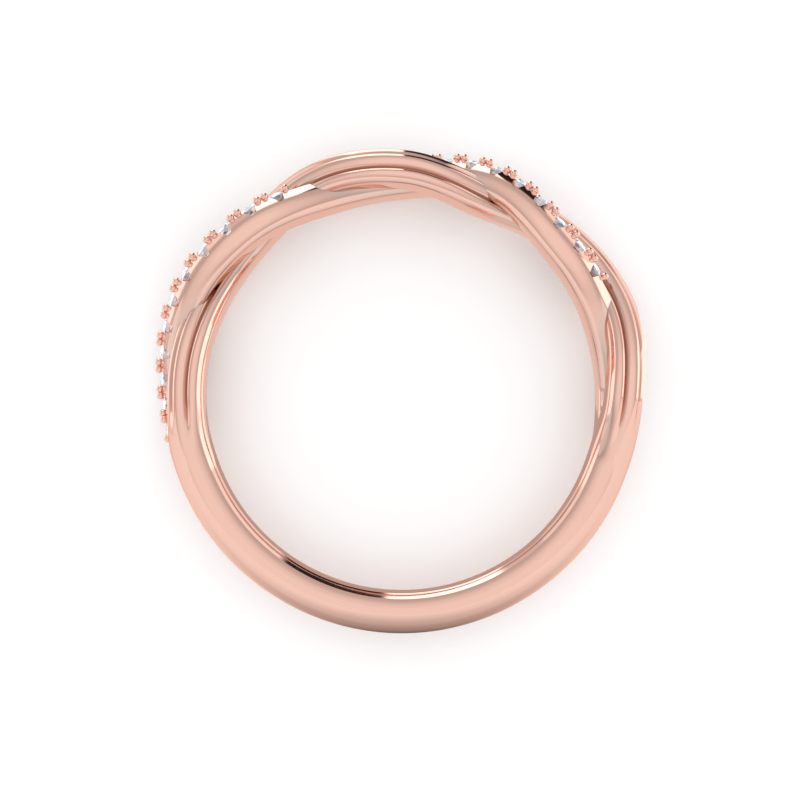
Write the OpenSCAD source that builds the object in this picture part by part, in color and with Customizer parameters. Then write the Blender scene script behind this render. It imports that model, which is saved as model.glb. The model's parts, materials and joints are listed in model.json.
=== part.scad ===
// Twisted stackable band: a fluted strand and a stone-set strand twine over the
// upper half and run into a plain D-section shank. The ring lies on its side:
// the finger axis is Z, the shank is on the -Y side, and Z = 0 is its mid-plane.

/* [Ring] */
// Inside diameter of the ring, mm
inside_d = 16.5; // [15:0.1:20]
// Thickness of the plain shank, mm
shank_t = 1.8; // [1.7:0.02:1.9]
// Width of the plain shank along the finger, mm
shank_w = 2.05; // [1.9:0.05:2.3]
// Width of the straight part of the shank's bore, mm
shank_flat = 0.4; // [0.3:0.05:0.7]
// How far the eased edge of the bore stands back from the finger, mm
shank_ease = 0.3; // [0.2:0.02:0.36]

/* [Strands] */
// How far each strand swings to either side of the mid-plane, mm
swing = 0.88; // [0.8:0.02:1]
// Angle of one whole twist round the ring, degrees
twist = 90; // [88:0.5:92]
// Angle at which the set strand first passes over the fluted one, degrees
first_over = 157; // [155:0.5:159]
// Width of the set strand, mm
set_w = 1.7; // [1.65:0.01:1.75]
// Height of the set strand from its sole to the top of its walls, mm
set_h = 1.3; // [1.25:0.05:1.45]
// Width of the fluted strand, mm
fluted_w = 1.66; // [1.5:0.05:1.75]
// Height of the fluted strand, mm
fluted_h = 1.56; // [1.45:0.05:1.65]

/* [Stones] */
// Diameter of each round stone, mm
stone_d = 1.0; // [0.9:0.02:1.04]
// Height of the table above the walls, mm
table_rise = 0.15; // [0.1:0.01:0.2]
// Play between a stone and its seat, mm
stone_play = 0.025; // [0.02:0.005:0.04]

/* [Prongs] */
// Diameter of one bead prong, mm
prong_d = 0.28; // [0.24:0.01:0.28]
// Height of a prong above the wall, mm
prong_rise = 0.36; // [0.3:0.01:0.4]
// Distance between the two prongs of a pair, mm
prong_pair = 0.31; // [0.31:0.01:0.33]
// Depth of the notch in each wall under a stone, mm
notch_depth = 0.44; // [0.4:0.01:0.45]
// Width of that notch at the top, mm
notch_w = 0.54; // [0.4:0.02:0.54]

/* [Hidden] */
bore_r = inside_d / 2;
sole_dip = 0.12;      // how far a sole that rests on the bore is sunk before boring
step = 4;             // degrees between two sections of a strand
strand_from = -24;    // both strands start and end inside the shank
strand_to = 204;
fade = 22;            // degrees in which the twist grows from the shank
shank_from = 193;     // the plain stretch, through the bottom of the ring
shank_to = 347;
arc_steps = 5;        // points on each eased edge and side of the shank, and half its crown

// Share of the swing, and height of the sole over the bore, at every pass and crossing
ANGLE = 0;
SET = 1;              // the set strand's two columns start here
FLUTED = 3;           // and the fluted strand's here
LIFT = 1;             // a strand's lift stands one column after its swing
rows = [
    // angle, set strand: swing, lift, fluted strand: swing, lift
    [-22.5, 1.00, 0.10, 1.00, 0.10],
    [0, 1.00, 0.15, 1.00, 0.24],
    [22.5, 1.00, 0.04, 1.00, 0.82],
    [45, 1.00, 0.04, 1.00, 0.68],
    [67.5, 1.00, 0.72, 1.00, 0.00],
    [90, 1.00, 0.30, 1.00, 0.38],
    [112.5, 1.00, 0.04, 1.00, 0.70],
    [135, 1.00, 0.40, 1.00, 0.28],
    [157.5, 1.00, 0.83, 0.85, 0.04],
    [180, 1.00, 0.54, 0.55, 0.00],
    [202.5, 1.00, 0.10, 0.55, 0.10]
];
row_pitch = rows[1][ANGLE] - rows[0][ANGLE];

// Half outline of each strand from the sole up: share of the half width, share of the height
set_outline = [
    [0.54, 0.00], [0.66, 0.05], [0.87, 0.18], [1.00, 0.48], [0.88, 0.79], [0.65, 1.00]
];
fluted_outline = [
    [0.55, 0.00], [0.67, 0.04], [0.93, 0.17], [1.00, 0.28], [0.96, 0.40],
    [0.70, 0.47],
    [0.85, 0.53], [0.88, 0.64], [0.79, 0.75],
    [0.54, 0.83],
    [0.46, 0.92], [0.26, 0.985]
];

// Stones sit in three rows on the set strand, wherever it isn't crossed over
stone_rows = [
    // angle of the first stone, angle of the last, how many
    [189.6, 123.2, 11],
    [97.9, 33.1, 11],
    [10.3, -9.6, 4]
];
stone_count = 26;

// Places along the set strand, worked out from its real length
walk_step = 1;
walk = [for (t = strand_from, s = 0; t <= strand_to;
    s = s + walk_step * mm_per_degree(t), t = t + walk_step) [t, s]];
walk_back = [for (w = walk) [w[1], w[0]]];

function mm_per_degree(t) = norm(place(SET, t + 0.5, 0, set_h) - place(SET, t - 0.5, 0, set_h));
function run_of(t) = lookup(t, walk);
function angle_at(s) = lookup(s, walk_back);
function gap_in(r) = (run_of(r[0]) - run_of(r[1])) / (r[2] - 1);

stone_runs = [for (r = stone_rows, i = [0 : r[2] - 1]) run_of(r[0]) - i * gap_in(r)];
// Prongs stand in pairs half way between stones, and singly at the ends of each row
prong_runs = [for (r = stone_rows, i = [0 : r[2]], e = [-1, 1])
    let (middle = run_of(r[0]) - (i - 0.5) * gap_in(r))
    if (!(i == 0 && e == 1) && !(i == r[2] && e == -1)) middle + e * prong_pair / 2];

function stone_name(i) = str("stone_", i < 10 ? "0" : "", i);

// Smooth step from 0 to 1
function ease(x) = let (c = min(1, max(0, x))) c * c * (3 - 2 * c);

// A curve through four equally spaced heights, between the middle two
function between(a, b, c, d, f) =
    b + 0.5 * f * (c - a + f * (2 * a - 5 * b + 4 * c - d + f * (3 * (b - c) + d - a)));
function row(i, column) = rows[min(len(rows) - 1, max(0, i))][column];
function along(column, t) =
    let (x = (t - rows[0][ANGLE]) / row_pitch, i = floor(x))
    between(row(i - 1, column), row(i, column), row(i + 1, column), row(i + 2, column), x - i);
function lift(strand, t) = max(0, along(strand + LIFT, t));

// Axial place of a strand's middle line, and how steeply it runs
function side(strand) = strand == SET ? 1 : -1;
function grown(t) = ease((t - strand_from) / fade) * ease((strand_to - t) / fade);
function axial(strand, t) = side(strand) * swing * along(strand, t) * grown(t)
    * sin(360 / twist * (first_over - t));
function slope(strand, t) =
    atan2(axial(strand, t + 0.5) - axial(strand, t - 0.5), (bore_r + shank_t / 2) * PI / 180);

// A sole near the bore is sunk a little, and the bore then cuts it true
function sole(strand, t) =
    let (l = lift(strand, t)) l >= sole_dip ? l : 2 * l - sole_dip;

// Point of a strand: u across it, v above its sole
function place(strand, t, u, v) =
    let (a = slope(strand, t), r = bore_r + (v > 0 ? lift(strand, t) + v : sole(strand, t)),
        q = t - u * sin(a) / (bore_r + shank_t / 2) * 180 / PI)
    [r * cos(q), r * sin(q), axial(strand, t) + u * cos(a)];

// Whole closed outline from one half
function both_halves(half) =
    concat(half, [for (i = [len(half) - 1 : -1 : 0]) [-half[i][0], half[i][1]]]);

function ring_faces(rings, n) = [for (j = [0 : rings - 2], i = [0 : n - 1])
    let (k = (i + 1) % n) each [
        [j * n + i, (j + 1) * n + k, j * n + k],
        [j * n + i, (j + 1) * n + i, (j + 1) * n + k]
    ]];

module strand(which, outline, w, h) {
    section = both_halves(outline);
    n = len(section);
    angles = [for (t = [strand_from : step : strand_to]) t];
    rings = len(angles);
    polyhedron(
        points = [for (t = angles, p = section) place(which, t, p[0] * w / 2, p[1] * h)],
        faces = concat(
            ring_faces(rings, n),
            [[for (i = [0 : n - 1]) i]],
            [[for (i = [n - 1 : -1 : 0]) (rings - 1) * n + i]]
        )
    );
}

// Frame on top of the set strand: X along it, Y across, Z away from the finger
module on_set_strand(s) {
    t = angle_at(s);
    rotate([0, 0, t])
        translate([bore_r + lift(SET, t) + set_h, 0, axial(SET, t)])
            rotate([0, 90, 0])
                rotate([0, 0, 90 + slope(SET, t)])
                    children();
}

module seat() {
    r = stone_d / 2 + stone_play;
    depth = 0.45 * stone_d + stone_play;
    cylinder(h = 1, r = r, $fn = 48);
    translate([0, 0, -depth])
        cylinder(h = depth + 0.01, r1 = 0.05, r2 = r, $fn = 48);
}

module notch() {
    rotate([90, 0, 0])
        linear_extrude(height = 2 * set_w, center = true)
            polygon([[-notch_w / 2, 0.02], [0, -notch_depth], [notch_w / 2, 0.02]]);
}

module prong() {
    r = prong_d / 2;
    root = 0.22;                     // how deep it stands in the wall
    rotate_extrude($fn = 24)
        union() {
            translate([0, -root]) square([r, root + prong_rise - r]);
            intersection() {
                translate([0, prong_rise - r]) circle(r = r, $fn = 48);
                translate([0, prong_rise - 2 * r]) square(2 * r);
            }
        }
}

module prongs() {
    wall_edge = set_outline[len(set_outline) - 1][0];
    off = set_w / 2 * wall_edge - 0.03;
    for (s = prong_runs, y = [-off, off])
        on_set_strand(s) translate([0, y, 0]) prong();
}

// Radius of an arc that bends away by rise in a given run
function arc_radius(rise, run) = (rise ^ 2 + run ^ 2) / (2 * rise);

// D section: X is the distance from the finger axis, Y runs along the finger
module shank_section() {
    half = shank_w / 2;
    flat = shank_flat / 2;
    lip = 0.82 * half;               // where the eased bore meets the side
    belly = shank_t / 2;             // height at which the shank is widest
    ease_r = arc_radius(shank_ease, lip - flat);
    side_r = arc_radius(half - lip, belly - shank_ease);
    ease_turn = asin((lip - flat) / ease_r);
    side_turn = asin((belly - shank_ease) / side_r);
    upper = concat(
        [[bore_r - sole_dip, flat]],
        [for (i = [0 : arc_steps - 1]) let (a = ease_turn * i / arc_steps)
            [bore_r + ease_r * (1 - cos(a)), flat + ease_r * sin(a)]],
        [for (i = [0 : arc_steps - 1]) let (a = side_turn * (i / arc_steps - 1))
            [bore_r + belly + side_r * sin(a), half - side_r * (1 - cos(a))]],
        [for (i = [0 : 2 * arc_steps]) let (a = 45 * i / arc_steps)
            [bore_r + belly + (shank_t - belly) * sin(a), half * cos(a)]]
    );
    polygon(concat(upper, [for (i = [len(upper) - 2 : -1 : 0]) [upper[i][0], -upper[i][1]]]));
}

module shank() {
    rotate([0, 0, shank_from])
        rotate_extrude(angle = shank_to - shank_from, $fn = 180) shank_section();
}

module band() {
    color("#e6b4a0")
    difference() {
        union() {
            shank();
            strand(FLUTED, fluted_outline, fluted_w, fluted_h);
            difference() {
                strand(SET, set_outline, set_w, set_h);
                for (s = stone_runs) on_set_strand(s) {
                    seat();
                    notch();
                }
            }
            prongs();
        }
        translate([0, 0, -5]) cylinder(h = 10, r = bore_r, $fn = 180);
    }
}

// Round stone with an eight-sided table, sixteen crown facets and a pointed pavilion
module stone() {
    r = stone_d / 2;
    girdle = 0.03;
    sides = 8;
    half_turn = 180 / sides;
    function ring(radius, z, turn) = [for (i = [0 : sides - 1])
        [radius * cos(turn + i * 360 / sides), radius * sin(turn + i * 360 / sides), z]];
    polyhedron(
        points = concat(
            ring(0.56 * r, table_rise, half_turn),
            ring(r, girdle / 2, 0),
            ring(r, -girdle / 2, 0),
            [[0, 0, -0.43 * stone_d]]
        ),
        faces = concat(
            [[for (i = [sides - 1 : -1 : 0]) i]],
            [for (i = [0 : sides - 1]) let (k = (i + 1) % sides) each [
                [i, sides + k, sides + i],
                [i, k, sides + k],
                [sides + i, 2 * sides + k, 2 * sides + i],
                [sides + i, sides + k, 2 * sides + k],
                [2 * sides + i, 2 * sides + k, 3 * sides]
            ]]
        )
    );
}

module set_stone(i) {
    color("#dfe8f2") on_set_strand(stone_runs[i - 1]) stone();
}

band();
for (i = [1 : stone_count])
    set_stone(i);
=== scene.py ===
# Twisted stackable band in polished rose gold, lying on its side on a pale floor.
# Blender works in metres, the sizes below are in mm and turned into metres with mm.
# The finger axis is Z, the plain shank is on the -Y side, the twist on the +Y side.
import json
import math
import random

import bmesh
import bpy
from mathutils import Matrix, Vector
from mathutils.bvhtree import BVHTree


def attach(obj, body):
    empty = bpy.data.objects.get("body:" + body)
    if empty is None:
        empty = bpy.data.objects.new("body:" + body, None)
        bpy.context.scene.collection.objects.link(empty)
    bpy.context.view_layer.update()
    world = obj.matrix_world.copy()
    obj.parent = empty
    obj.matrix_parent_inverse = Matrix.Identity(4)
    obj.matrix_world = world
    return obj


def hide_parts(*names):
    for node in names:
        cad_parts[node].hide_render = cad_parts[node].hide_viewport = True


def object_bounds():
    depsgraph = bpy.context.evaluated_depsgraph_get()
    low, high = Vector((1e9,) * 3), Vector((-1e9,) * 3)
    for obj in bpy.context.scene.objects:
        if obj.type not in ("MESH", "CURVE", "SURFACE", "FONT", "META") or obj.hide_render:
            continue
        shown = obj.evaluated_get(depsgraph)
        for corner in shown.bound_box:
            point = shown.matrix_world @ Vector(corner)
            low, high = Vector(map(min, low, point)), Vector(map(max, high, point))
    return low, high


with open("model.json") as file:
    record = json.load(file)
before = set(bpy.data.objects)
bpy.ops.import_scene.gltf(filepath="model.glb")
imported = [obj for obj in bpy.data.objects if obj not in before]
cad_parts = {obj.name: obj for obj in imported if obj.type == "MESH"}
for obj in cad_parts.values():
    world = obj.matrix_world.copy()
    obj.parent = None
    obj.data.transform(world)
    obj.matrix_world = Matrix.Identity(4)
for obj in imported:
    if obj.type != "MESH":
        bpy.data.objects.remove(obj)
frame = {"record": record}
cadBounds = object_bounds()

mm = 0.001

# What both strands and the shank are laid out from, in mm and degrees round the finger from +X
twist = {
    "bore": frame["record"]["mounts"][0]["dims"]["r_mm"],
    "shankThick": 1.8,
    "swing": 0.88,  # how far each strand swings off the mid-plane
    "turn": 90,  # one whole twist takes this much of the ring
    "firstOver": 157,  # where the set strand first passes over the fluted one
    "strandFrom": -24,
    "strandTo": 204,
    "fade": 22,  # the swing grows in this angle
}

# Angle, then share of the swing and lift off the bore: set strand, fluted strand
twistRows = [
    (-22.5, 1.00, 0.10, 1.00, 0.10),
    (0, 1.00, 0.15, 1.00, 0.24),
    (22.5, 1.00, 0.04, 1.00, 0.82),
    (45, 1.00, 0.04, 1.00, 0.68),
    (67.5, 1.00, 0.72, 1.00, 0.00),
    (90, 1.00, 0.30, 1.00, 0.38),
    (112.5, 1.00, 0.04, 1.00, 0.70),
    (135, 1.00, 0.40, 1.00, 0.28),
    (157.5, 1.00, 0.83, 0.85, 0.04),
    (180, 1.00, 0.54, 0.55, 0.00),
    (202.5, 1.00, 0.10, 0.55, 0.10),
]

setStrand = {
    "swingColumn": 1,
    "liftColumn": 2,
    "side": 1,
    "wide": 1.7,
    "high": 1.3,
    "settle": (0, 16),  # its section melts into the shank this far off the ends, in this angle
    "keepFrom": -20,  # past these it is buried in the shank, and left out
    "keepTo": 200,
    "buried": 0.95,  # size of its section inside the shank
    "line": (3, 1.2),  # a thin line of painted shade along the finger side, where the far wall shows mirrored: row, how much
    # Half outline from the sole up: shares of half the width and of the height, where that
    # point goes on the shank in mm, and edge where the corner stays sharp
    "outline": [
        (0.00, 0.00, 0.00, 0.00, ""),
        (0.35, 0.00, 0.35, 0.03, ""),
        (0.553, 0.006, 0.56, 0.058, ""),
        (0.665, 0.0385, 0.65, 0.112, ""),
        (0.77, 0.11, 0.745, 0.20, ""),
        (0.87, 0.18, 0.83, 0.28, "edge"),
        (0.96, 0.30, 0.93, 0.46, ""),
        (1.01, 0.48, 1.01, 0.72, ""),
        (0.98, 0.68, 1.03, 0.95, ""),
        (0.87, 0.83, 1.00, 1.12, "edge"),
        (0.78, 0.915, 0.93, 1.28, ""),
        (0.69, 1.00, 0.83, 1.42, "edge"),
        (0.35, 1.00, 0.50, 1.68, ""),
        (0.00, 1.00, 0.00, 1.80, ""),
    ],
}

flutedStrand = {
    "swingColumn": 3,
    "liftColumn": 4,
    "side": -1,
    "wide": 1.66,
    "high": 1.56,
    "settle": (8, 14),
    "buried": 1,
    # The same thin line of painted shade along the finger side
    "line": (3, 1.2),
    # Where it bends away from the shank its lower edge gets painted shade: at, reach, rows, how
    # much
    "bend": (-10, 9, (5, 6), 0.9),
    # As above. The flutes are sharp inner corners that fade into the shank
    "outline": [
        (0.00, 0.00, 0.00, 0.00, ""),
        (0.36, 0.00, 0.35, 0.03, ""),
        (0.58, 0.003, 0.56, 0.058, ""),
        (0.68, 0.027, 0.65, 0.112, ""),
        (0.79, 0.08, 0.745, 0.20, ""),
        (0.91, 0.14, 0.83, 0.28, "edge"),
        (0.98, 0.215, 0.93, 0.46, ""),
        (1.00, 0.30, 0.985, 0.61, ""),
        (0.90, 0.395, 1.012, 0.71, ""),
        (0.70, 0.42, 1.022, 0.76, "deepFlute"),
        (0.86, 0.50, 1.035, 0.90, ""),
        (0.885, 0.62, 1.005, 1.12, ""),
        (0.84, 0.72, 0.918, 1.30, ""),
        (0.76, 0.785, 0.842, 1.41, ""),
        (0.54, 0.82, 0.78, 1.48, "flute"),
        (0.47, 0.90, 0.595, 1.62, ""),
        (0.40, 0.955, 0.39, 1.72, ""),
        (0.22, 0.99, 0.20, 1.78, ""),
        (0.00, 1.00, 0.00, 1.80, ""),
    ],
}

flutes = {
    "shade": {"flute": 0.3, "deepFlute": 1},  # how much painted shade each gets, as less light gets into it
    "shadeMargin": 3,  # degrees by which that shade ends before the strand's own section
    "hurry": 1.6,  # how much faster they get shallow than the section melts into the shank
}

sweep = {
    "sections": 256,  # round the whole ring
    "rounding": 2,  # times that the corners of a section are cut
    "cut": 0.25,  # share of an edge that goes with each
}


# Where things lie on the twist

def ease(x):
    x = min(1, max(0, x))
    return x * x * (3 - 2 * x)


def along(column, t):  # a smooth curve through one column of twistRows
    pitch = twistRows[1][0] - twistRows[0][0]
    x = (t - twistRows[0][0]) / pitch
    i = math.floor(x)
    f = x - i
    a, b, c, d = [twistRows[min(len(twistRows) - 1, max(0, i + k))][column] for k in (-1, 0, 1, 2)]
    return b + 0.5 * f * (c - a + f * (2 * a - 5 * b + 4 * c - d + f * (3 * (b - c) + d - a)))


def grown(t, margin, fade):  # 1 along the strands, 0 on the plain shank
    start, end = twist["strandFrom"] + margin, twist["strandTo"] - margin
    return ease((t - start) / fade) * ease((end - t) / fade)


def lift(strand, t):
    return max(0, along(strand["liftColumn"], t))


def axial(strand, t):  # mm off the mid-plane
    swing = strand["side"] * twist["swing"] * along(strand["swingColumn"], t)
    swing = swing * grown(t, 0, twist["fade"])
    return swing * math.sin(math.radians(360 / twist["turn"] * (twist["firstOver"] - t)))


def slope(strand, t):  # from half a degree before to half a degree after
    middle = twist["bore"] + twist["shankThick"] / 2
    return math.atan2(axial(strand, t + 0.5) - axial(strand, t - 0.5), math.radians(middle))


def place(strand, t, u, height):  # u across the strand and height over the bore, in mm
    a = slope(strand, t)
    q = math.radians(t) - u * math.sin(a) / (twist["bore"] + twist["shankThick"] / 2)
    r = twist["bore"] + height
    return Vector((r * math.cos(q), r * math.sin(q), axial(strand, t) + u * math.cos(a))) * mm


# Frame on top of the set strand: X along it, Y across, Z away from the finger
def onSetStrand(t):
    radius = (twist["bore"] + lift(setStrand, t) + setStrand["high"]) * mm
    out = Matrix.Rotation(math.radians(t), 4, "Z")
    out = out @ Matrix.Translation((radius, 0, axial(setStrand, t) * mm))
    out = out @ Matrix.Rotation(math.pi / 2, 4, "Y")
    return out @ Matrix.Rotation(math.pi / 2 + slope(setStrand, t), 4, "Z")


# Modelling helpers

def deselectAll():
    if bpy.context.mode != "OBJECT":
        bpy.ops.object.mode_set(mode="OBJECT")
    bpy.ops.object.select_all(action="DESELECT")


def takeNew(name):
    piece = bpy.context.active_object
    piece.name = piece.data.name = name
    return piece


def selectOnly(piece):
    deselectAll()
    piece.select_set(True)
    bpy.context.view_layer.objects.active = piece


def applyModifier(piece, kind, **settings):
    selectOnly(piece)
    modifier = piece.modifiers.new(kind.title(), kind)
    for key, value in settings.items():
        setattr(modifier, key, value)
    bpy.ops.object.modifier_apply(modifier=modifier.name)


def joinAll(name, parts):
    deselectAll()
    for part in parts:
        part.select_set(True)
    bpy.context.view_layer.objects.active = parts[0]
    bpy.ops.object.join()
    return takeNew(name)


# In edit mode: selects the faces that look down, and nothing else
def selectUnderside(piece):
    bpy.ops.mesh.select_mode(type="FACE")
    bpy.ops.mesh.select_all(action="DESELECT")
    mesh = bmesh.from_edit_mesh(piece.data)
    for face in mesh.faces:
        face.select_set(face.normal.z < -0.9)
    bmesh.update_edit_mesh(piece.data)


# A copy with its own mesh, put to its place for good
def copyTo(piece, matrix, name):
    selectOnly(piece)
    bpy.ops.object.duplicate()
    copy = takeNew(name)
    copy.matrix_world = matrix
    bpy.ops.object.transform_apply(location=True, rotation=True, scale=True)
    return copy


# Whole closed outline at one place round the ring, its corners cut round but for edges and
# flutes. It starts at the crown and goes down the +Z side. A point is (u, height over the bore,
# shade, kind)
def sectionAt(strand, t):
    margin, fade = strand["settle"]
    own = grown(t, margin, fade)
    shaded = grown(t, margin + flutes["shadeMargin"], fade)
    middle = twist["shankThick"] / 2
    half = []
    lineRow, lineShade = strand["line"]
    bendAt, bendReach, bendRows, bendShade = strand.get("bend", (0, 1, (), 0))
    paintedBendShade = bendShade * ease(2 - 2 * abs(t - bendAt) / bendReach)
    for row, (wide, high, shankU, shankV, kind) in enumerate(strand["outline"]):
        buriedU = shankU * strand["buried"]
        buriedV = middle + (shankV - middle) * strand["buried"]
        u = own * wide * strand["wide"] / 2 + (1 - own) * buriedU
        v = own * (lift(strand, t) + high * strand["high"]) + (1 - own) * buriedV
        # Painted shade: at the bend, in the flutes and along the thin line
        shade = paintedBendShade if row in bendRows else shaded * flutes["shade"].get(kind, 0)
        if row == lineRow:
            shade = lineShade
        half.append((u, v, shade, kind))
    points = half[::-1] + [(-u, v, shade, kind) for u, v, shade, kind in half[1:-1]]
    soft = min(1, flutes["hurry"] * (1 - own))
    for i, (u, v, shade, kind) in enumerate(points):  # a flute that has faded is no corner
        if kind in flutes["shade"]:
            before, after = points[i - 1], points[(i + 1) % len(points)]
            u = (1 - soft) * u + soft * (before[0] + after[0]) / 2
            v = (1 - soft) * v + soft * (before[1] + after[1]) / 2
            points[i] = (u, v, shade, kind)
    cut = sweep["cut"]
    for _ in range(sweep["rounding"]):
        rounder = []
        for i, point in enumerate(points):
            if point[3]:
                rounder.append(point)
            else:
                for other in (points[i - 1], points[(i + 1) % len(points)]):
                    mixed = [(1 - cut) * a + cut * b for a, b in zip(point[:3], other[:3])]
                    rounder.append((*mixed, ""))
        points = rounder
    return points


# A closed ring with one section after another round the bore
def sweptRing(strand, name):
    count = len(sectionAt(strand, 0))
    deselectAll()
    bpy.ops.mesh.primitive_torus_add(major_segments=sweep["sections"], minor_segments=count,
                                     major_radius=twist["bore"] * mm, minor_radius=mm)
    ring = takeNew(name)
    bpy.ops.object.mode_set(mode="EDIT")
    mesh = bmesh.from_edit_mesh(ring.data)
    # Painted shade for each vertex: the flutes, the thin line by the finger and the bend
    shadeLayer = mesh.verts.layers.float.new("paintedShade")
    mesh.verts.ensure_lookup_table()
    for j in range(sweep["sections"]):
        t = j * 360 / sweep["sections"]
        t = t - 360 if t > 270 else t  # the strands are laid out from -90 to 270
        for i, (u, v, shade, _) in enumerate(sectionAt(strand, t)):
            mesh.verts[j * count + i].co = place(strand, t, u, v)
            mesh.verts[j * count + i][shadeLayer] = shade
    bmesh.update_edit_mesh(ring.data)
    bpy.ops.object.mode_set(mode="OBJECT")
    return ring


print("Fluted strand and shank")
ring = sweptRing(flutedStrand, "flutedRing")

print("Set strand")
wire = sweptRing(setStrand, "setWire")
selectOnly(wire)
bpy.ops.object.mode_set(mode="EDIT")
bpy.ops.mesh.select_mode(type="FACE")
bpy.ops.mesh.select_all(action="DESELECT")
mesh = bmesh.from_edit_mesh(wire.data)
for face in mesh.faces:
    centre = face.calc_center_median()
    t = math.degrees(math.atan2(centre.y, centre.x)) % 360
    face.select_set(setStrand["keepTo"] < t < 360 + setStrand["keepFrom"])
bmesh.update_edit_mesh(wire.data)
bpy.ops.mesh.delete(type="FACE")
bpy.ops.mesh.select_mode(type="EDGE")
bpy.ops.mesh.select_all(action="DESELECT")
bpy.ops.mesh.select_non_manifold()
bpy.ops.mesh.fill_holes(sides=0)
bpy.ops.object.mode_set(mode="OBJECT")


# Stones and prongs are spaced by the real length of the set strand

stoneRows = [  # angle of the first stone, angle of the last, how many
    (189.6, 123.2, 11),
    (97.9, 33.1, 11),
    (10.3, -9.6, 4),
]

prong = {
    "radius": 0.17,
    "neck": 0.11,
    "rise": 0.35,  # over the wall's top
    "root": 0.2,  # how deep the neck stands in the wall
    "pair": 0.32,  # between the middles of a pair
    "sides": 18,
    "rings": (-50, -32, -14, 4, 22, 40, 58, 74),  # degrees up the bead
    "edge": 10,  # the row of the outline by the wall's top edge
    "inset": 0.155,  # from there to the bead's middle
}


def walkStrand():  # whole degrees, and how far along the strand each is
    top = setStrand["high"]
    angles = list(range(twist["strandFrom"], twist["strandTo"] + 1))
    runs = [0]
    for t in angles[:-1]:
        ends = [place(setStrand, t + d, 0, lift(setStrand, t + d) + top) for d in (-0.5, 0.5)]
        runs.append(runs[-1] + (ends[1] - ends[0]).length)
    return angles, runs


def lookUp(x, xs, ys):  # straight between the nearest two of xs
    i = max(k for k in range(len(xs) - 1) if xs[k] <= x)
    return ys[i] + (ys[i + 1] - ys[i]) * (x - xs[i]) / (xs[i + 1] - xs[i])


angles, runs = walkStrand()
stoneAngles, prongAngles = [], []
for first, last, count in stoneRows:
    start, end = lookUp(first, angles, runs), lookUp(last, angles, runs)
    gap = (start - end) / (count - 1)
    stoneAngles += [lookUp(start - i * gap, runs, angles) for i in range(count)]
    for i in range(count + 1):
        for side in (-1, 1):
            if (i, side) not in ((0, 1), (count, -1)):
                run = start - (i - 0.5) * gap + side * prong["pair"] / 2 * mm
                prongAngles.append(lookUp(run, runs, angles))

print("Seats and notches")
seat = {
    "radius": 0.525,
    "depth": 0.475,
    "point": 0.05,  # radius at the bottom
    "clear": 1.0,  # how far the cutter stands out over the strand
    "sides": 32,
}
notch = {
    "wide": 0.58,
    "deep": 0.35,
    "above": 0.02,  # how far the cutter stands out over the strand
    "long": 3.2,  # right across the strand
    "foot": 0.4,  # share of its width at the bottom
}


# A drill: a straight shaft over a pointed end
def makeSeatCutter():
    deselectAll()
    high = seat["clear"] * mm
    bpy.ops.mesh.primitive_cylinder_add(vertices=seat["sides"], radius=seat["radius"] * mm,
                                        depth=high, location=(0, 0, high / 2))
    cutter = takeNew("seatCutter")
    bpy.ops.object.transform_apply(location=True)
    bpy.ops.object.mode_set(mode="EDIT")
    selectUnderside(cutter)
    foot = (0, 0, -seat["depth"] * mm)
    bpy.ops.mesh.extrude_region_move(TRANSFORM_OT_translate={"value": foot})
    shrink = seat["point"] / seat["radius"]
    bpy.ops.transform.resize(value=(shrink, shrink, 1), center_override=foot)
    bpy.ops.object.mode_set(mode="OBJECT")
    return cutter


# A file: a block that is narrower below
def makeNotchCutter():
    high = notch["deep"] + notch["above"]
    deselectAll()
    bpy.ops.mesh.primitive_cube_add(size=1, location=(0, 0, 0))
    cutter = takeNew("notchCutter")
    cutter.scale = Vector((notch["wide"], notch["long"], high)) * mm
    cutter.location = (0, 0, (notch["above"] - high / 2) * mm)
    bpy.ops.object.transform_apply(location=True, rotation=True, scale=True)
    bpy.ops.object.mode_set(mode="EDIT")
    selectUnderside(cutter)
    bpy.ops.transform.resize(value=(notch["foot"], 1, 1), center_override=(0, 0, 0))
    bpy.ops.object.mode_set(mode="OBJECT")
    return cutter


for name, cutter in (("seats", makeSeatCutter()), ("notches", makeNotchCutter())):
    cutters = [copyTo(cutter, onSetStrand(t), name) for t in stoneAngles]
    cutters = joinAll(name, cutters)
    applyModifier(wire, "BOOLEAN", operation="DIFFERENCE", solver="EXACT", object=cutters)
    bpy.data.objects.remove(cutters)
    bpy.data.objects.remove(cutter)

print("Prongs")


# A bead on a short neck: one disc drawn out ring by ring
def makeProng():
    height, radius = -prong["root"], prong["neck"]
    deselectAll()
    bpy.ops.mesh.primitive_circle_add(vertices=prong["sides"], radius=radius * mm,
                                      fill_type="NGON", location=(0, 0, height * mm))
    peg = takeNew("prong")
    bpy.ops.object.transform_apply(location=True)
    bpy.ops.object.mode_set(mode="EDIT")
    bpy.ops.mesh.select_all(action="SELECT")
    middle = prong["rise"] - prong["radius"]
    for a in prong["rings"]:
        newHeight = middle + prong["radius"] * math.sin(math.radians(a))
        newRadius = prong["radius"] * math.cos(math.radians(a))
        move = (0, 0, (newHeight - height) * mm)
        bpy.ops.mesh.extrude_region_move(TRANSFORM_OT_translate={"value": move})
        share = newRadius / radius
        bpy.ops.transform.resize(value=(share, share, 1), center_override=(0, 0, newHeight * mm))
        height, radius = newHeight, newRadius
    bpy.ops.mesh.select_all(action="SELECT")
    bpy.ops.mesh.normals_make_consistent(inside=False)
    bpy.ops.object.mode_set(mode="OBJECT")
    return peg


peg = makeProng()
aside = setStrand["wide"] / 2 * setStrand["outline"][prong["edge"]][0] - prong["inset"]
pegs = [copyTo(peg, onSetStrand(t) @ Matrix.Translation((0, y * mm, 0)), "prongCopy")
        for t in prongAngles for y in (-aside, aside)]
bpy.data.objects.remove(peg)

print("Creases")
crease = {
    "reach": 0.8,  # mm to which the other strand counts
    "off": 0.005,  # mm off the metal from which the rays start
    "rays": 32,
    "turn": 137.5,  # degrees from ray to ray
    "share": 3.5,  # the shade is this many times the share of rays that hit
}
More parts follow.
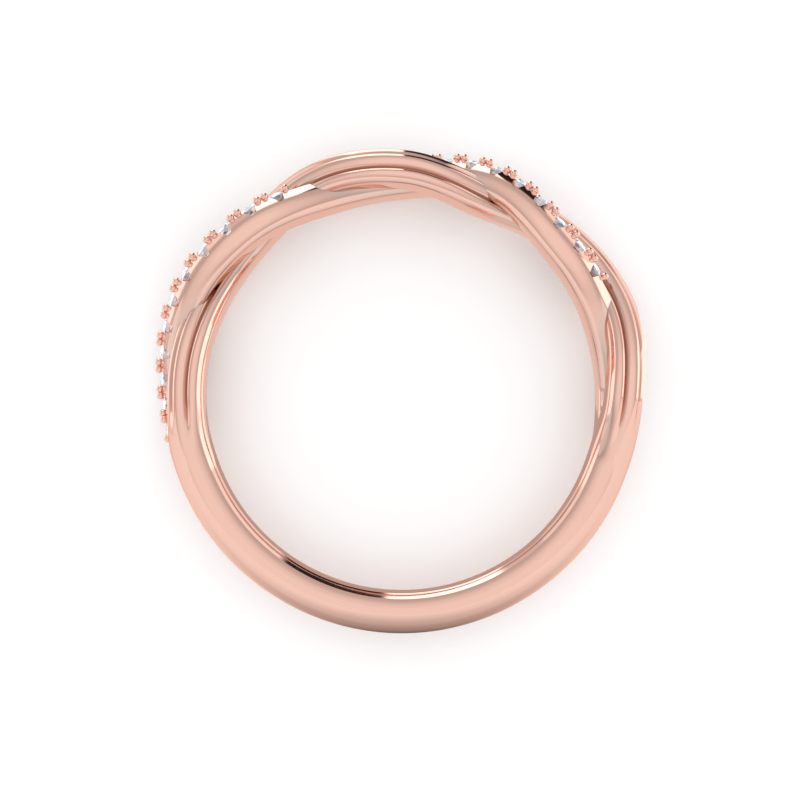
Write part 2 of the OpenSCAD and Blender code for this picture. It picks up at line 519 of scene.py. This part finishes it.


# Painted shade: the metal's colour turns greyer and darker where the other strand hems it in, as
# less light gets there
def shadeCreases(piece, other):
    tree = BVHTree.FromObject(other, bpy.context.evaluated_depsgraph_get())
    rays = []
    for i in range(crease["rays"]):
        up = (i + 0.5) / crease["rays"]
        out, a = math.sqrt(1 - up * up), math.radians(crease["turn"] * i)
        rays.append(Vector((out * math.cos(a), out * math.sin(a), up)))
    reach = crease["reach"] * mm
    hemmed = piece.data.attributes.new("crease", "FLOAT", "POINT")
    for vertex, shade in zip(piece.data.vertices, hemmed.data):
        if tree.find_nearest(vertex.co, reach)[0] is not None:
            turn = vertex.normal.to_track_quat("Z", "Y")
            start = vertex.co + vertex.normal * crease["off"] * mm
            hits = sum(tree.ray_cast(start, turn @ ray, reach)[0] is not None for ray in rays)
            shade.value = min(1, crease["share"] * hits / crease["rays"])


shadeCreases(ring, wire)
shadeCreases(wire, ring)

print("Band")
smoothUnder = 32  # degrees between faces
band = joinAll("bandMetal", [ring, wire] + pegs)
selectOnly(band)
bpy.ops.object.shade_smooth_by_angle(angle=math.radians(smoothUnder))
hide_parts("band")
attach(band, "root")

print("Stones")
brilliant = {
    "radius": 0.5,
    "sides": 32,
    "eighth": 45,  # degrees, as the cut repeats eight times
    "girdle": 0.015,  # half its thickness
    "proud": 0.04,  # how far the girdle stands over the strand
    "table": 0.15,  # over the girdle's middle
    "mainSlope": 34.5,  # degrees off level, as the others
    "starSlope": 21,
    "starReach": 0.2805,  # from the axis to a star facet's upper edge
    "upperSlope": 42.5,
    "pavilionSlope": 39.7,
    "lowerSlope": 40.2,
}


# Every facet is cut off a round blank by one bisect, as on a wheel
def cutFacet(azimuth, tilt, reach, height):
    a, b = math.radians(azimuth), math.radians(tilt)
    normal = (math.sin(b) * math.cos(a), math.sin(b) * math.sin(a), math.cos(b))
    bpy.ops.mesh.select_all(action="SELECT")
    point = (reach * math.cos(a) * mm, reach * math.sin(a) * mm, height * mm)
    bpy.ops.mesh.bisect(plane_co=point, plane_no=normal, use_fill=True, clear_outer=True,
                        threshold=1e-7)  # metres, far under the shortest edge


def makeBrilliant():
    r, g = brilliant["radius"], brilliant["girdle"]
    eighth = brilliant["eighth"]
    chord = r * math.cos(math.radians(eighth / 4))
    deselectAll()
    bpy.ops.mesh.primitive_cylinder_add(vertices=brilliant["sides"], radius=r * mm, depth=mm)
    stone = takeNew("brilliant")
    bpy.ops.object.mode_set(mode="EDIT")
    cutFacet(0, 0, 0, brilliant["table"])
    # Known fault: after these cuts in turns the fill fails from the second lower girdle cut on,
    # and leaves the stone open below. In a test, all crown mains first and then all lower mains
    # left it closed
    for k in range(8):
        cutFacet(eighth * k, brilliant["mainSlope"], r, g)
        cutFacet(eighth * k, 180 - brilliant["pavilionSlope"], r, -g)
    for k in range(8):
        cutFacet(eighth * (k + 0.5), brilliant["starSlope"], brilliant["starReach"],
                 brilliant["table"])
    for k in range(16):
        cutFacet(eighth * (k + 0.5) / 2, brilliant["upperSlope"], chord, g)
        cutFacet(eighth * (k + 0.5) / 2, 180 - brilliant["lowerSlope"], chord, -g)
    bpy.ops.mesh.select_all(action="SELECT")
    bpy.ops.mesh.remove_doubles(threshold=1e-6)
    bpy.ops.mesh.normals_make_consistent(inside=False)
    bpy.ops.object.mode_set(mode="OBJECT")
    return stone


blank = makeBrilliant()
stones = []
chance = random.Random(7)  # the same painted flashes each time
raised = Matrix.Translation((0, 0, brilliant["proud"] * mm))
for i, t in enumerate(stoneAngles):
    stone = copyTo(blank, onSetStrand(t) @ raised, f"brilliant{i + 1:02d}")
    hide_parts(f"stone_{i + 1:02d}")
    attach(stone, "root")
    paintedFlash = stone.data.attributes.new("paintedFlash", "FLOAT", "FACE")
    for facet in paintedFlash.data:
        facet.value = chance.random()
    stones.append(stone)
bpy.data.objects.remove(blank)

print("Materials")


def newMaterial(name):
    material = bpy.data.materials.new(name)
    material.use_nodes = True
    nodes = material.node_tree.nodes
    return material, nodes, material.node_tree.links, nodes["Principled BSDF"]


# Puts the stops, each a place and red, green and blue, on a colour ramp
def fillRamp(ramp, stops):
    elements = ramp.color_ramp.elements
    while len(elements) < len(stops):
        elements.new(0.5)  # anywhere, as each is moved next
    for element, (at, color) in zip(elements, stops):
        element.position = at
        element.color = (*color, 1)


def makeRoseGold():
    material, nodes, links, shader = newMaterial("roseGold")
    shader.inputs["Metallic"].default_value = 1
    shader.inputs["Specular Tint"].default_value = (0.97, 0.75, 0.66, 1)
    coords = nodes.new("ShaderNodeTexCoord")
    cloud = nodes.new("ShaderNodeTexNoise")  # the alloy's faint change of colour
    cloud.inputs["Scale"].default_value = 300
    cloud.inputs["Detail"].default_value = 3
    tint = nodes.new("ShaderNodeMix")
    tint.data_type = "RGBA"
    tint.inputs["A"].default_value = (0.93, 0.585, 0.48, 1)
    tint.inputs["B"].default_value = (0.91, 0.565, 0.465, 1)
    paintedShade = nodes.new("ShaderNodeAttribute")
    paintedShade.attribute_name = "paintedShade"
    dim = nodes.new("ShaderNodeMix")  # painted shade: darker in the flutes, along the thin line and at the bend
    dim.data_type = "RGBA"
    dim.inputs["B"].default_value = (0.62, 0.42, 0.36, 1)
    hemmed = nodes.new("ShaderNodeAttribute")
    hemmed.attribute_name = "crease"
    pale = nodes.new("ShaderNodeMix")  # and painted shade, greyer and darker where the strands hem in and mirror each other
    pale.data_type = "RGBA"
    pale.inputs["B"].default_value = (0.77, 0.57, 0.49, 1)
    swirl = nodes.new("ShaderNodeTexNoise")  # traces of the polishing wheel
    swirl.inputs["Scale"].default_value = 2500
    swirl.inputs["Detail"].default_value = 4
    rough = nodes.new("ShaderNodeMapRange")
    rough.inputs["To Min"].default_value = 0.05
    rough.inputs["To Max"].default_value = 0.10
    bump = nodes.new("ShaderNodeBump")
    bump.inputs["Strength"].default_value = 0.02
    bump.inputs["Distance"].default_value = 0.00002
    for noise in (cloud, swirl):
        links.new(coords.outputs["Object"], noise.inputs["Vector"])
    links.new(cloud.outputs["Fac"], tint.inputs["Factor"])
    links.new(paintedShade.outputs["Fac"], dim.inputs["Factor"])
    links.new(hemmed.outputs["Fac"], pale.inputs["Factor"])
    links.new(tint.outputs["Result"], pale.inputs["A"])
    links.new(pale.outputs["Result"], dim.inputs["A"])
    links.new(dim.outputs["Result"], shader.inputs["Base Color"])
    links.new(swirl.outputs["Fac"], rough.inputs["Value"])
    links.new(rough.outputs["Result"], shader.inputs["Roughness"])
    links.new(swirl.outputs["Fac"], bump.inputs["Height"])
    links.new(bump.outputs["Normal"], shader.inputs["Normal"])
    return material


# Each facet has a painted tint of its own, for the white, pale blue and grey flashes that a cut
# stone mirrors
def makeDiamond():
    material, nodes, links, shader = newMaterial("diamond")
    shader.inputs["Roughness"].default_value = 0.02
    shader.inputs["IOR"].default_value = 2.42
    shader.inputs["Transmission Weight"].default_value = 0.05
    shader.inputs["Emission Strength"].default_value = 0.42  # painted glow, in place of the light a cut stone sends back up
    paintedFlash = nodes.new("ShaderNodeAttribute")
    paintedFlash.attribute_name = "paintedFlash"
    ramp = nodes.new("ShaderNodeValToRGB")
    fillRamp(ramp, [
        (0, (0.1, 0.12, 0.14)),
        (0.18, (0.34, 0.4, 0.46)),
        (0.42, (0.56, 0.64, 0.71)),
        (1, (0.86, 0.9, 0.94)),
    ])
    links.new(paintedFlash.outputs["Fac"], ramp.inputs["Fac"])
    # The painted flash tints both the colour and the painted glow
    for name in ("Base Color", "Emission Color"):
        links.new(ramp.outputs["Color"], shader.inputs[name])
    return material


def makeFloorPaint():
    material, _, _, shader = newMaterial("palePaint")
    shader.inputs["Base Color"].default_value = (0.9, 0.9, 0.9, 1)
    shader.inputs["Roughness"].default_value = 0.6
    shader.inputs["Specular IOR Level"].default_value = 0
    return material


band.data.materials.clear()
band.data.materials.append(makeRoseGold())
diamond = makeDiamond()
for stone in stones:
    stone.data.materials.clear()
    stone.data.materials.append(diamond)

print("Floor, lights and camera")
deselectAll()
floorWide = 1.2  # metres
bpy.ops.mesh.primitive_plane_add(size=floorWide, location=(0, 0, cadBounds[0].z))
floor = takeNew("floor")
floor.data.materials.append(makeFloorPaint())
floor.visible_glossy = False  # the metal mirrors the studio below instead


# What the metal mirrors. Degrees: round the finger axis from +X, and off the camera's side
studio = {
    "plain": 1.25,  # the even light on floor and stones
    # Off the camera's side, brightness: a white umbrella, then the dimmer room
    "room": [(0, 0.95), (22, 0.95), (40, 0.80), (50, 0.62), (62, 0.56), (100, 0.87), (150, 0.87)],
    # Round from, to, off the camera's side from, to, brightness
    "panels": [
        (20, 160, 130, 200, 0.55),
        (-4, 24, 66, 155, 1.65),
        (24, 56, 74, 150, 1.1),
        (56, 86, 72, 130, 0.02),
        (86, 118, 72, 130, 2.2),
        (132, 150, 72, 145, 1.0),
        (150, 182, 78, 145, 1.42),
    ],
    "panelBlur": 1.5,
    "reachBlur": 5,
}

# A white sheet upright by the shank that glows, with a painted contact shadow where a standing
# ring would touch it. It shows in the metal alone
sheet = {
    "reach": 100,  # mm from the ring's middle to its edges
    "below": 0.02,  # mm off the shank
    "shade": 0.92,  # how much darker the painted contact shadow makes it where they touch
    "fall": 1.4,  # mm in which the shade fades
    "stretch": 4.4,  # how much longer the shade is than wide
    "whole": 8,  # mm along the finger axis to which it is white
    "gone": 14,  # and to where it fades
    "flare": 0.5,  # how much further both are, for each mm to the side
}


# Gives a function that adds one math node and returns its output
def reckoner(nodes, links):
    def reckon(operation, *values):  # a value is a number or another output
        node = nodes.new("ShaderNodeMath")
        node.operation = operation
        for socket, value in zip(node.inputs, values):
            if isinstance(value, (int, float)):
                socket.default_value = value
            else:
                links.new(value, socket)
        return node.outputs[0]
    return reckon


def addStudioWorld():
    world = bpy.data.worlds.new("studio")
    bpy.context.scene.world = world
    world.use_nodes = True
    nodes, links = world.node_tree.nodes, world.node_tree.links
    coords = nodes.new("ShaderNodeTexCoord")
    split = nodes.new("ShaderNodeSeparateXYZ")
    links.new(coords.outputs["Generated"], split.inputs["Vector"])
    reckon = reckoner(nodes, links)

    def rise(value, start, end):  # 0 up to start, 1 from end on
        node = nodes.new("ShaderNodeMapRange")
        node.interpolation_type = "SMOOTHSTEP"
        links.new(value, node.inputs["Value"])
        node.inputs["From Min"].default_value = start
        node.inputs["From Max"].default_value = end
        return node.outputs["Result"]

    def within(value, start, end, blur):
        return reckon("MULTIPLY", rise(value, start - blur, start + blur),
                      reckon("SUBTRACT", 1, rise(value, end - blur, end + blur)))

    def over(level, mask, new):  # new where the mask is 1
        return reckon("MULTIPLY_ADD", mask, reckon("SUBTRACT", new, level), level)

    sideways, upwards, towards = split.outputs
    offCamera = reckon("DEGREES", reckon("ARCCOSINE", towards))
    turn = reckon("DEGREES", reckon("ARCTAN2", reckon("MULTIPLY", sideways, -1), upwards))
    turn = reckon("ADD", turn, 90)
    ramp = nodes.new("ShaderNodeValToRGB")
    links.new(reckon("DIVIDE", offCamera, 180), ramp.inputs["Fac"])
    fillRamp(ramp, [(angle / 180, (bright, bright, bright)) for angle, bright in studio["room"]])
    level = ramp.outputs["Color"]
    for start, end, reach, reachEnd, bright in studio["panels"]:
        mask = reckon("MULTIPLY", within(turn, start, end, studio["panelBlur"]),
                      within(offCamera, reach, reachEnd, studio["reachBlur"]))
        level = over(level, mask, bright)
    path = nodes.new("ShaderNodeLightPath")
    background = nodes["Background"]
    background.inputs["Color"].default_value = (1, 1, 1, 1)
    strength = over(studio["plain"], path.outputs["Is Glossy Ray"], level)
    links.new(strength, background.inputs["Strength"])


def addSheet():
    deselectAll()
    spot = (0, cadBounds[0].y - sheet["below"] * mm, 0)
    bpy.ops.mesh.primitive_plane_add(size=2 * sheet["reach"] * mm, location=spot,
                                     rotation=(-math.pi / 2, 0, 0))
    card = takeNew("whiteSheet")
    bpy.ops.object.transform_apply(location=True, rotation=True, scale=True)
    material = bpy.data.materials.new("whiteSheet")
    material.use_nodes = True
    nodes, links = material.node_tree.nodes, material.node_tree.links
    nodes.remove(nodes["Principled BSDF"])
    coords = nodes.new("ShaderNodeTexCoord")
    reckon = reckoner(nodes, links)
    squeeze = nodes.new("ShaderNodeMapping")
    fall = sheet["fall"] * mm
    squeeze.inputs["Scale"].default_value = (1 / fall / sheet["stretch"], 0, 1 / fall)
    away = nodes.new("ShaderNodeVectorMath")
    away.operation = "LENGTH"
    split = nodes.new("ShaderNodeSeparateXYZ")
    links.new(coords.outputs["Object"], squeeze.inputs["Vector"])
    links.new(coords.outputs["Object"], split.inputs["Vector"])
    links.new(squeeze.outputs["Vector"], away.inputs[0])
    sideways, _, lengthwise = split.outputs
    # Painted contact shadow, fading away from where a standing ring would touch
    shade = reckon("POWER", 1 / math.e, away.outputs["Value"])
    beyond = reckon("MULTIPLY_ADD", reckon("ABSOLUTE", sideways), -sheet["flare"],
                    reckon("ABSOLUTE", lengthwise))
    thin = nodes.new("ShaderNodeMapRange")
    thin.inputs["From Min"].default_value = sheet["whole"] * mm
    thin.inputs["From Max"].default_value = sheet["gone"] * mm
    glow = nodes.new("ShaderNodeEmission")
    nothing = nodes.new("ShaderNodeBsdfTransparent")
    cloth = nodes.new("ShaderNodeMixShader")
    links.new(reckon("MULTIPLY_ADD", shade, -sheet["shade"], 1), glow.inputs["Strength"])
    links.new(beyond, thin.inputs["Value"])
    links.new(thin.outputs["Result"], cloth.inputs["Fac"])
    links.new(glow.outputs["Emission"], cloth.inputs[1])
    links.new(nothing.outputs["BSDF"], cloth.inputs[2])
    links.new(cloth.outputs["Shader"], nodes["Material Output"].inputs["Surface"])
    card.data.materials.append(material)
    card.visible_camera = card.visible_diffuse = False
    card.visible_shadow = card.visible_transmission = False


addStudioWorld()
addSheet()

view = {
    "target": (0, 0, 0.25),  # mm
    "distance": 49,
    "below": 2.5,  # degrees from the finger axis towards the shank
    "pixelsPerMm": 23.75,
    "frame": 800,  # pixels across
    "shiftX": -1.7,  # pixels
    "shiftY": -6.5,
    "sensor": 36,  # mm
    "near": 1,  # mm, what it sees from and to
    "far": 2000,
}


def addCamera():
    camera = bpy.data.cameras.new("camera")
    holder = bpy.data.objects.new("camera", camera)
    bpy.context.collection.objects.link(holder)
    a = math.radians(view["below"])
    back = Vector((0, -math.sin(a), math.cos(a)))
    up = Vector((0, math.cos(a), math.sin(a)))
    turn = Matrix((Vector((1, 0, 0)), up, back)).transposed().to_4x4()
    spot = (Vector(view["target"]) + back * view["distance"]) * mm
    holder.matrix_world = Matrix.Translation(spot) @ turn
    camera.sensor_width = view["sensor"]
    camera.lens = view["pixelsPerMm"] * view["distance"] / view["frame"] * camera.sensor_width
    camera.shift_x = view["shiftX"] / view["frame"]
    camera.shift_y = view["shiftY"] / view["frame"]
    camera.clip_start = view["near"] * mm
    camera.clip_end = view["far"] * mm
    bpy.context.scene.camera = holder


addCamera()
bpy.context.scene.view_settings.view_transform = "Standard"

deselectAll()
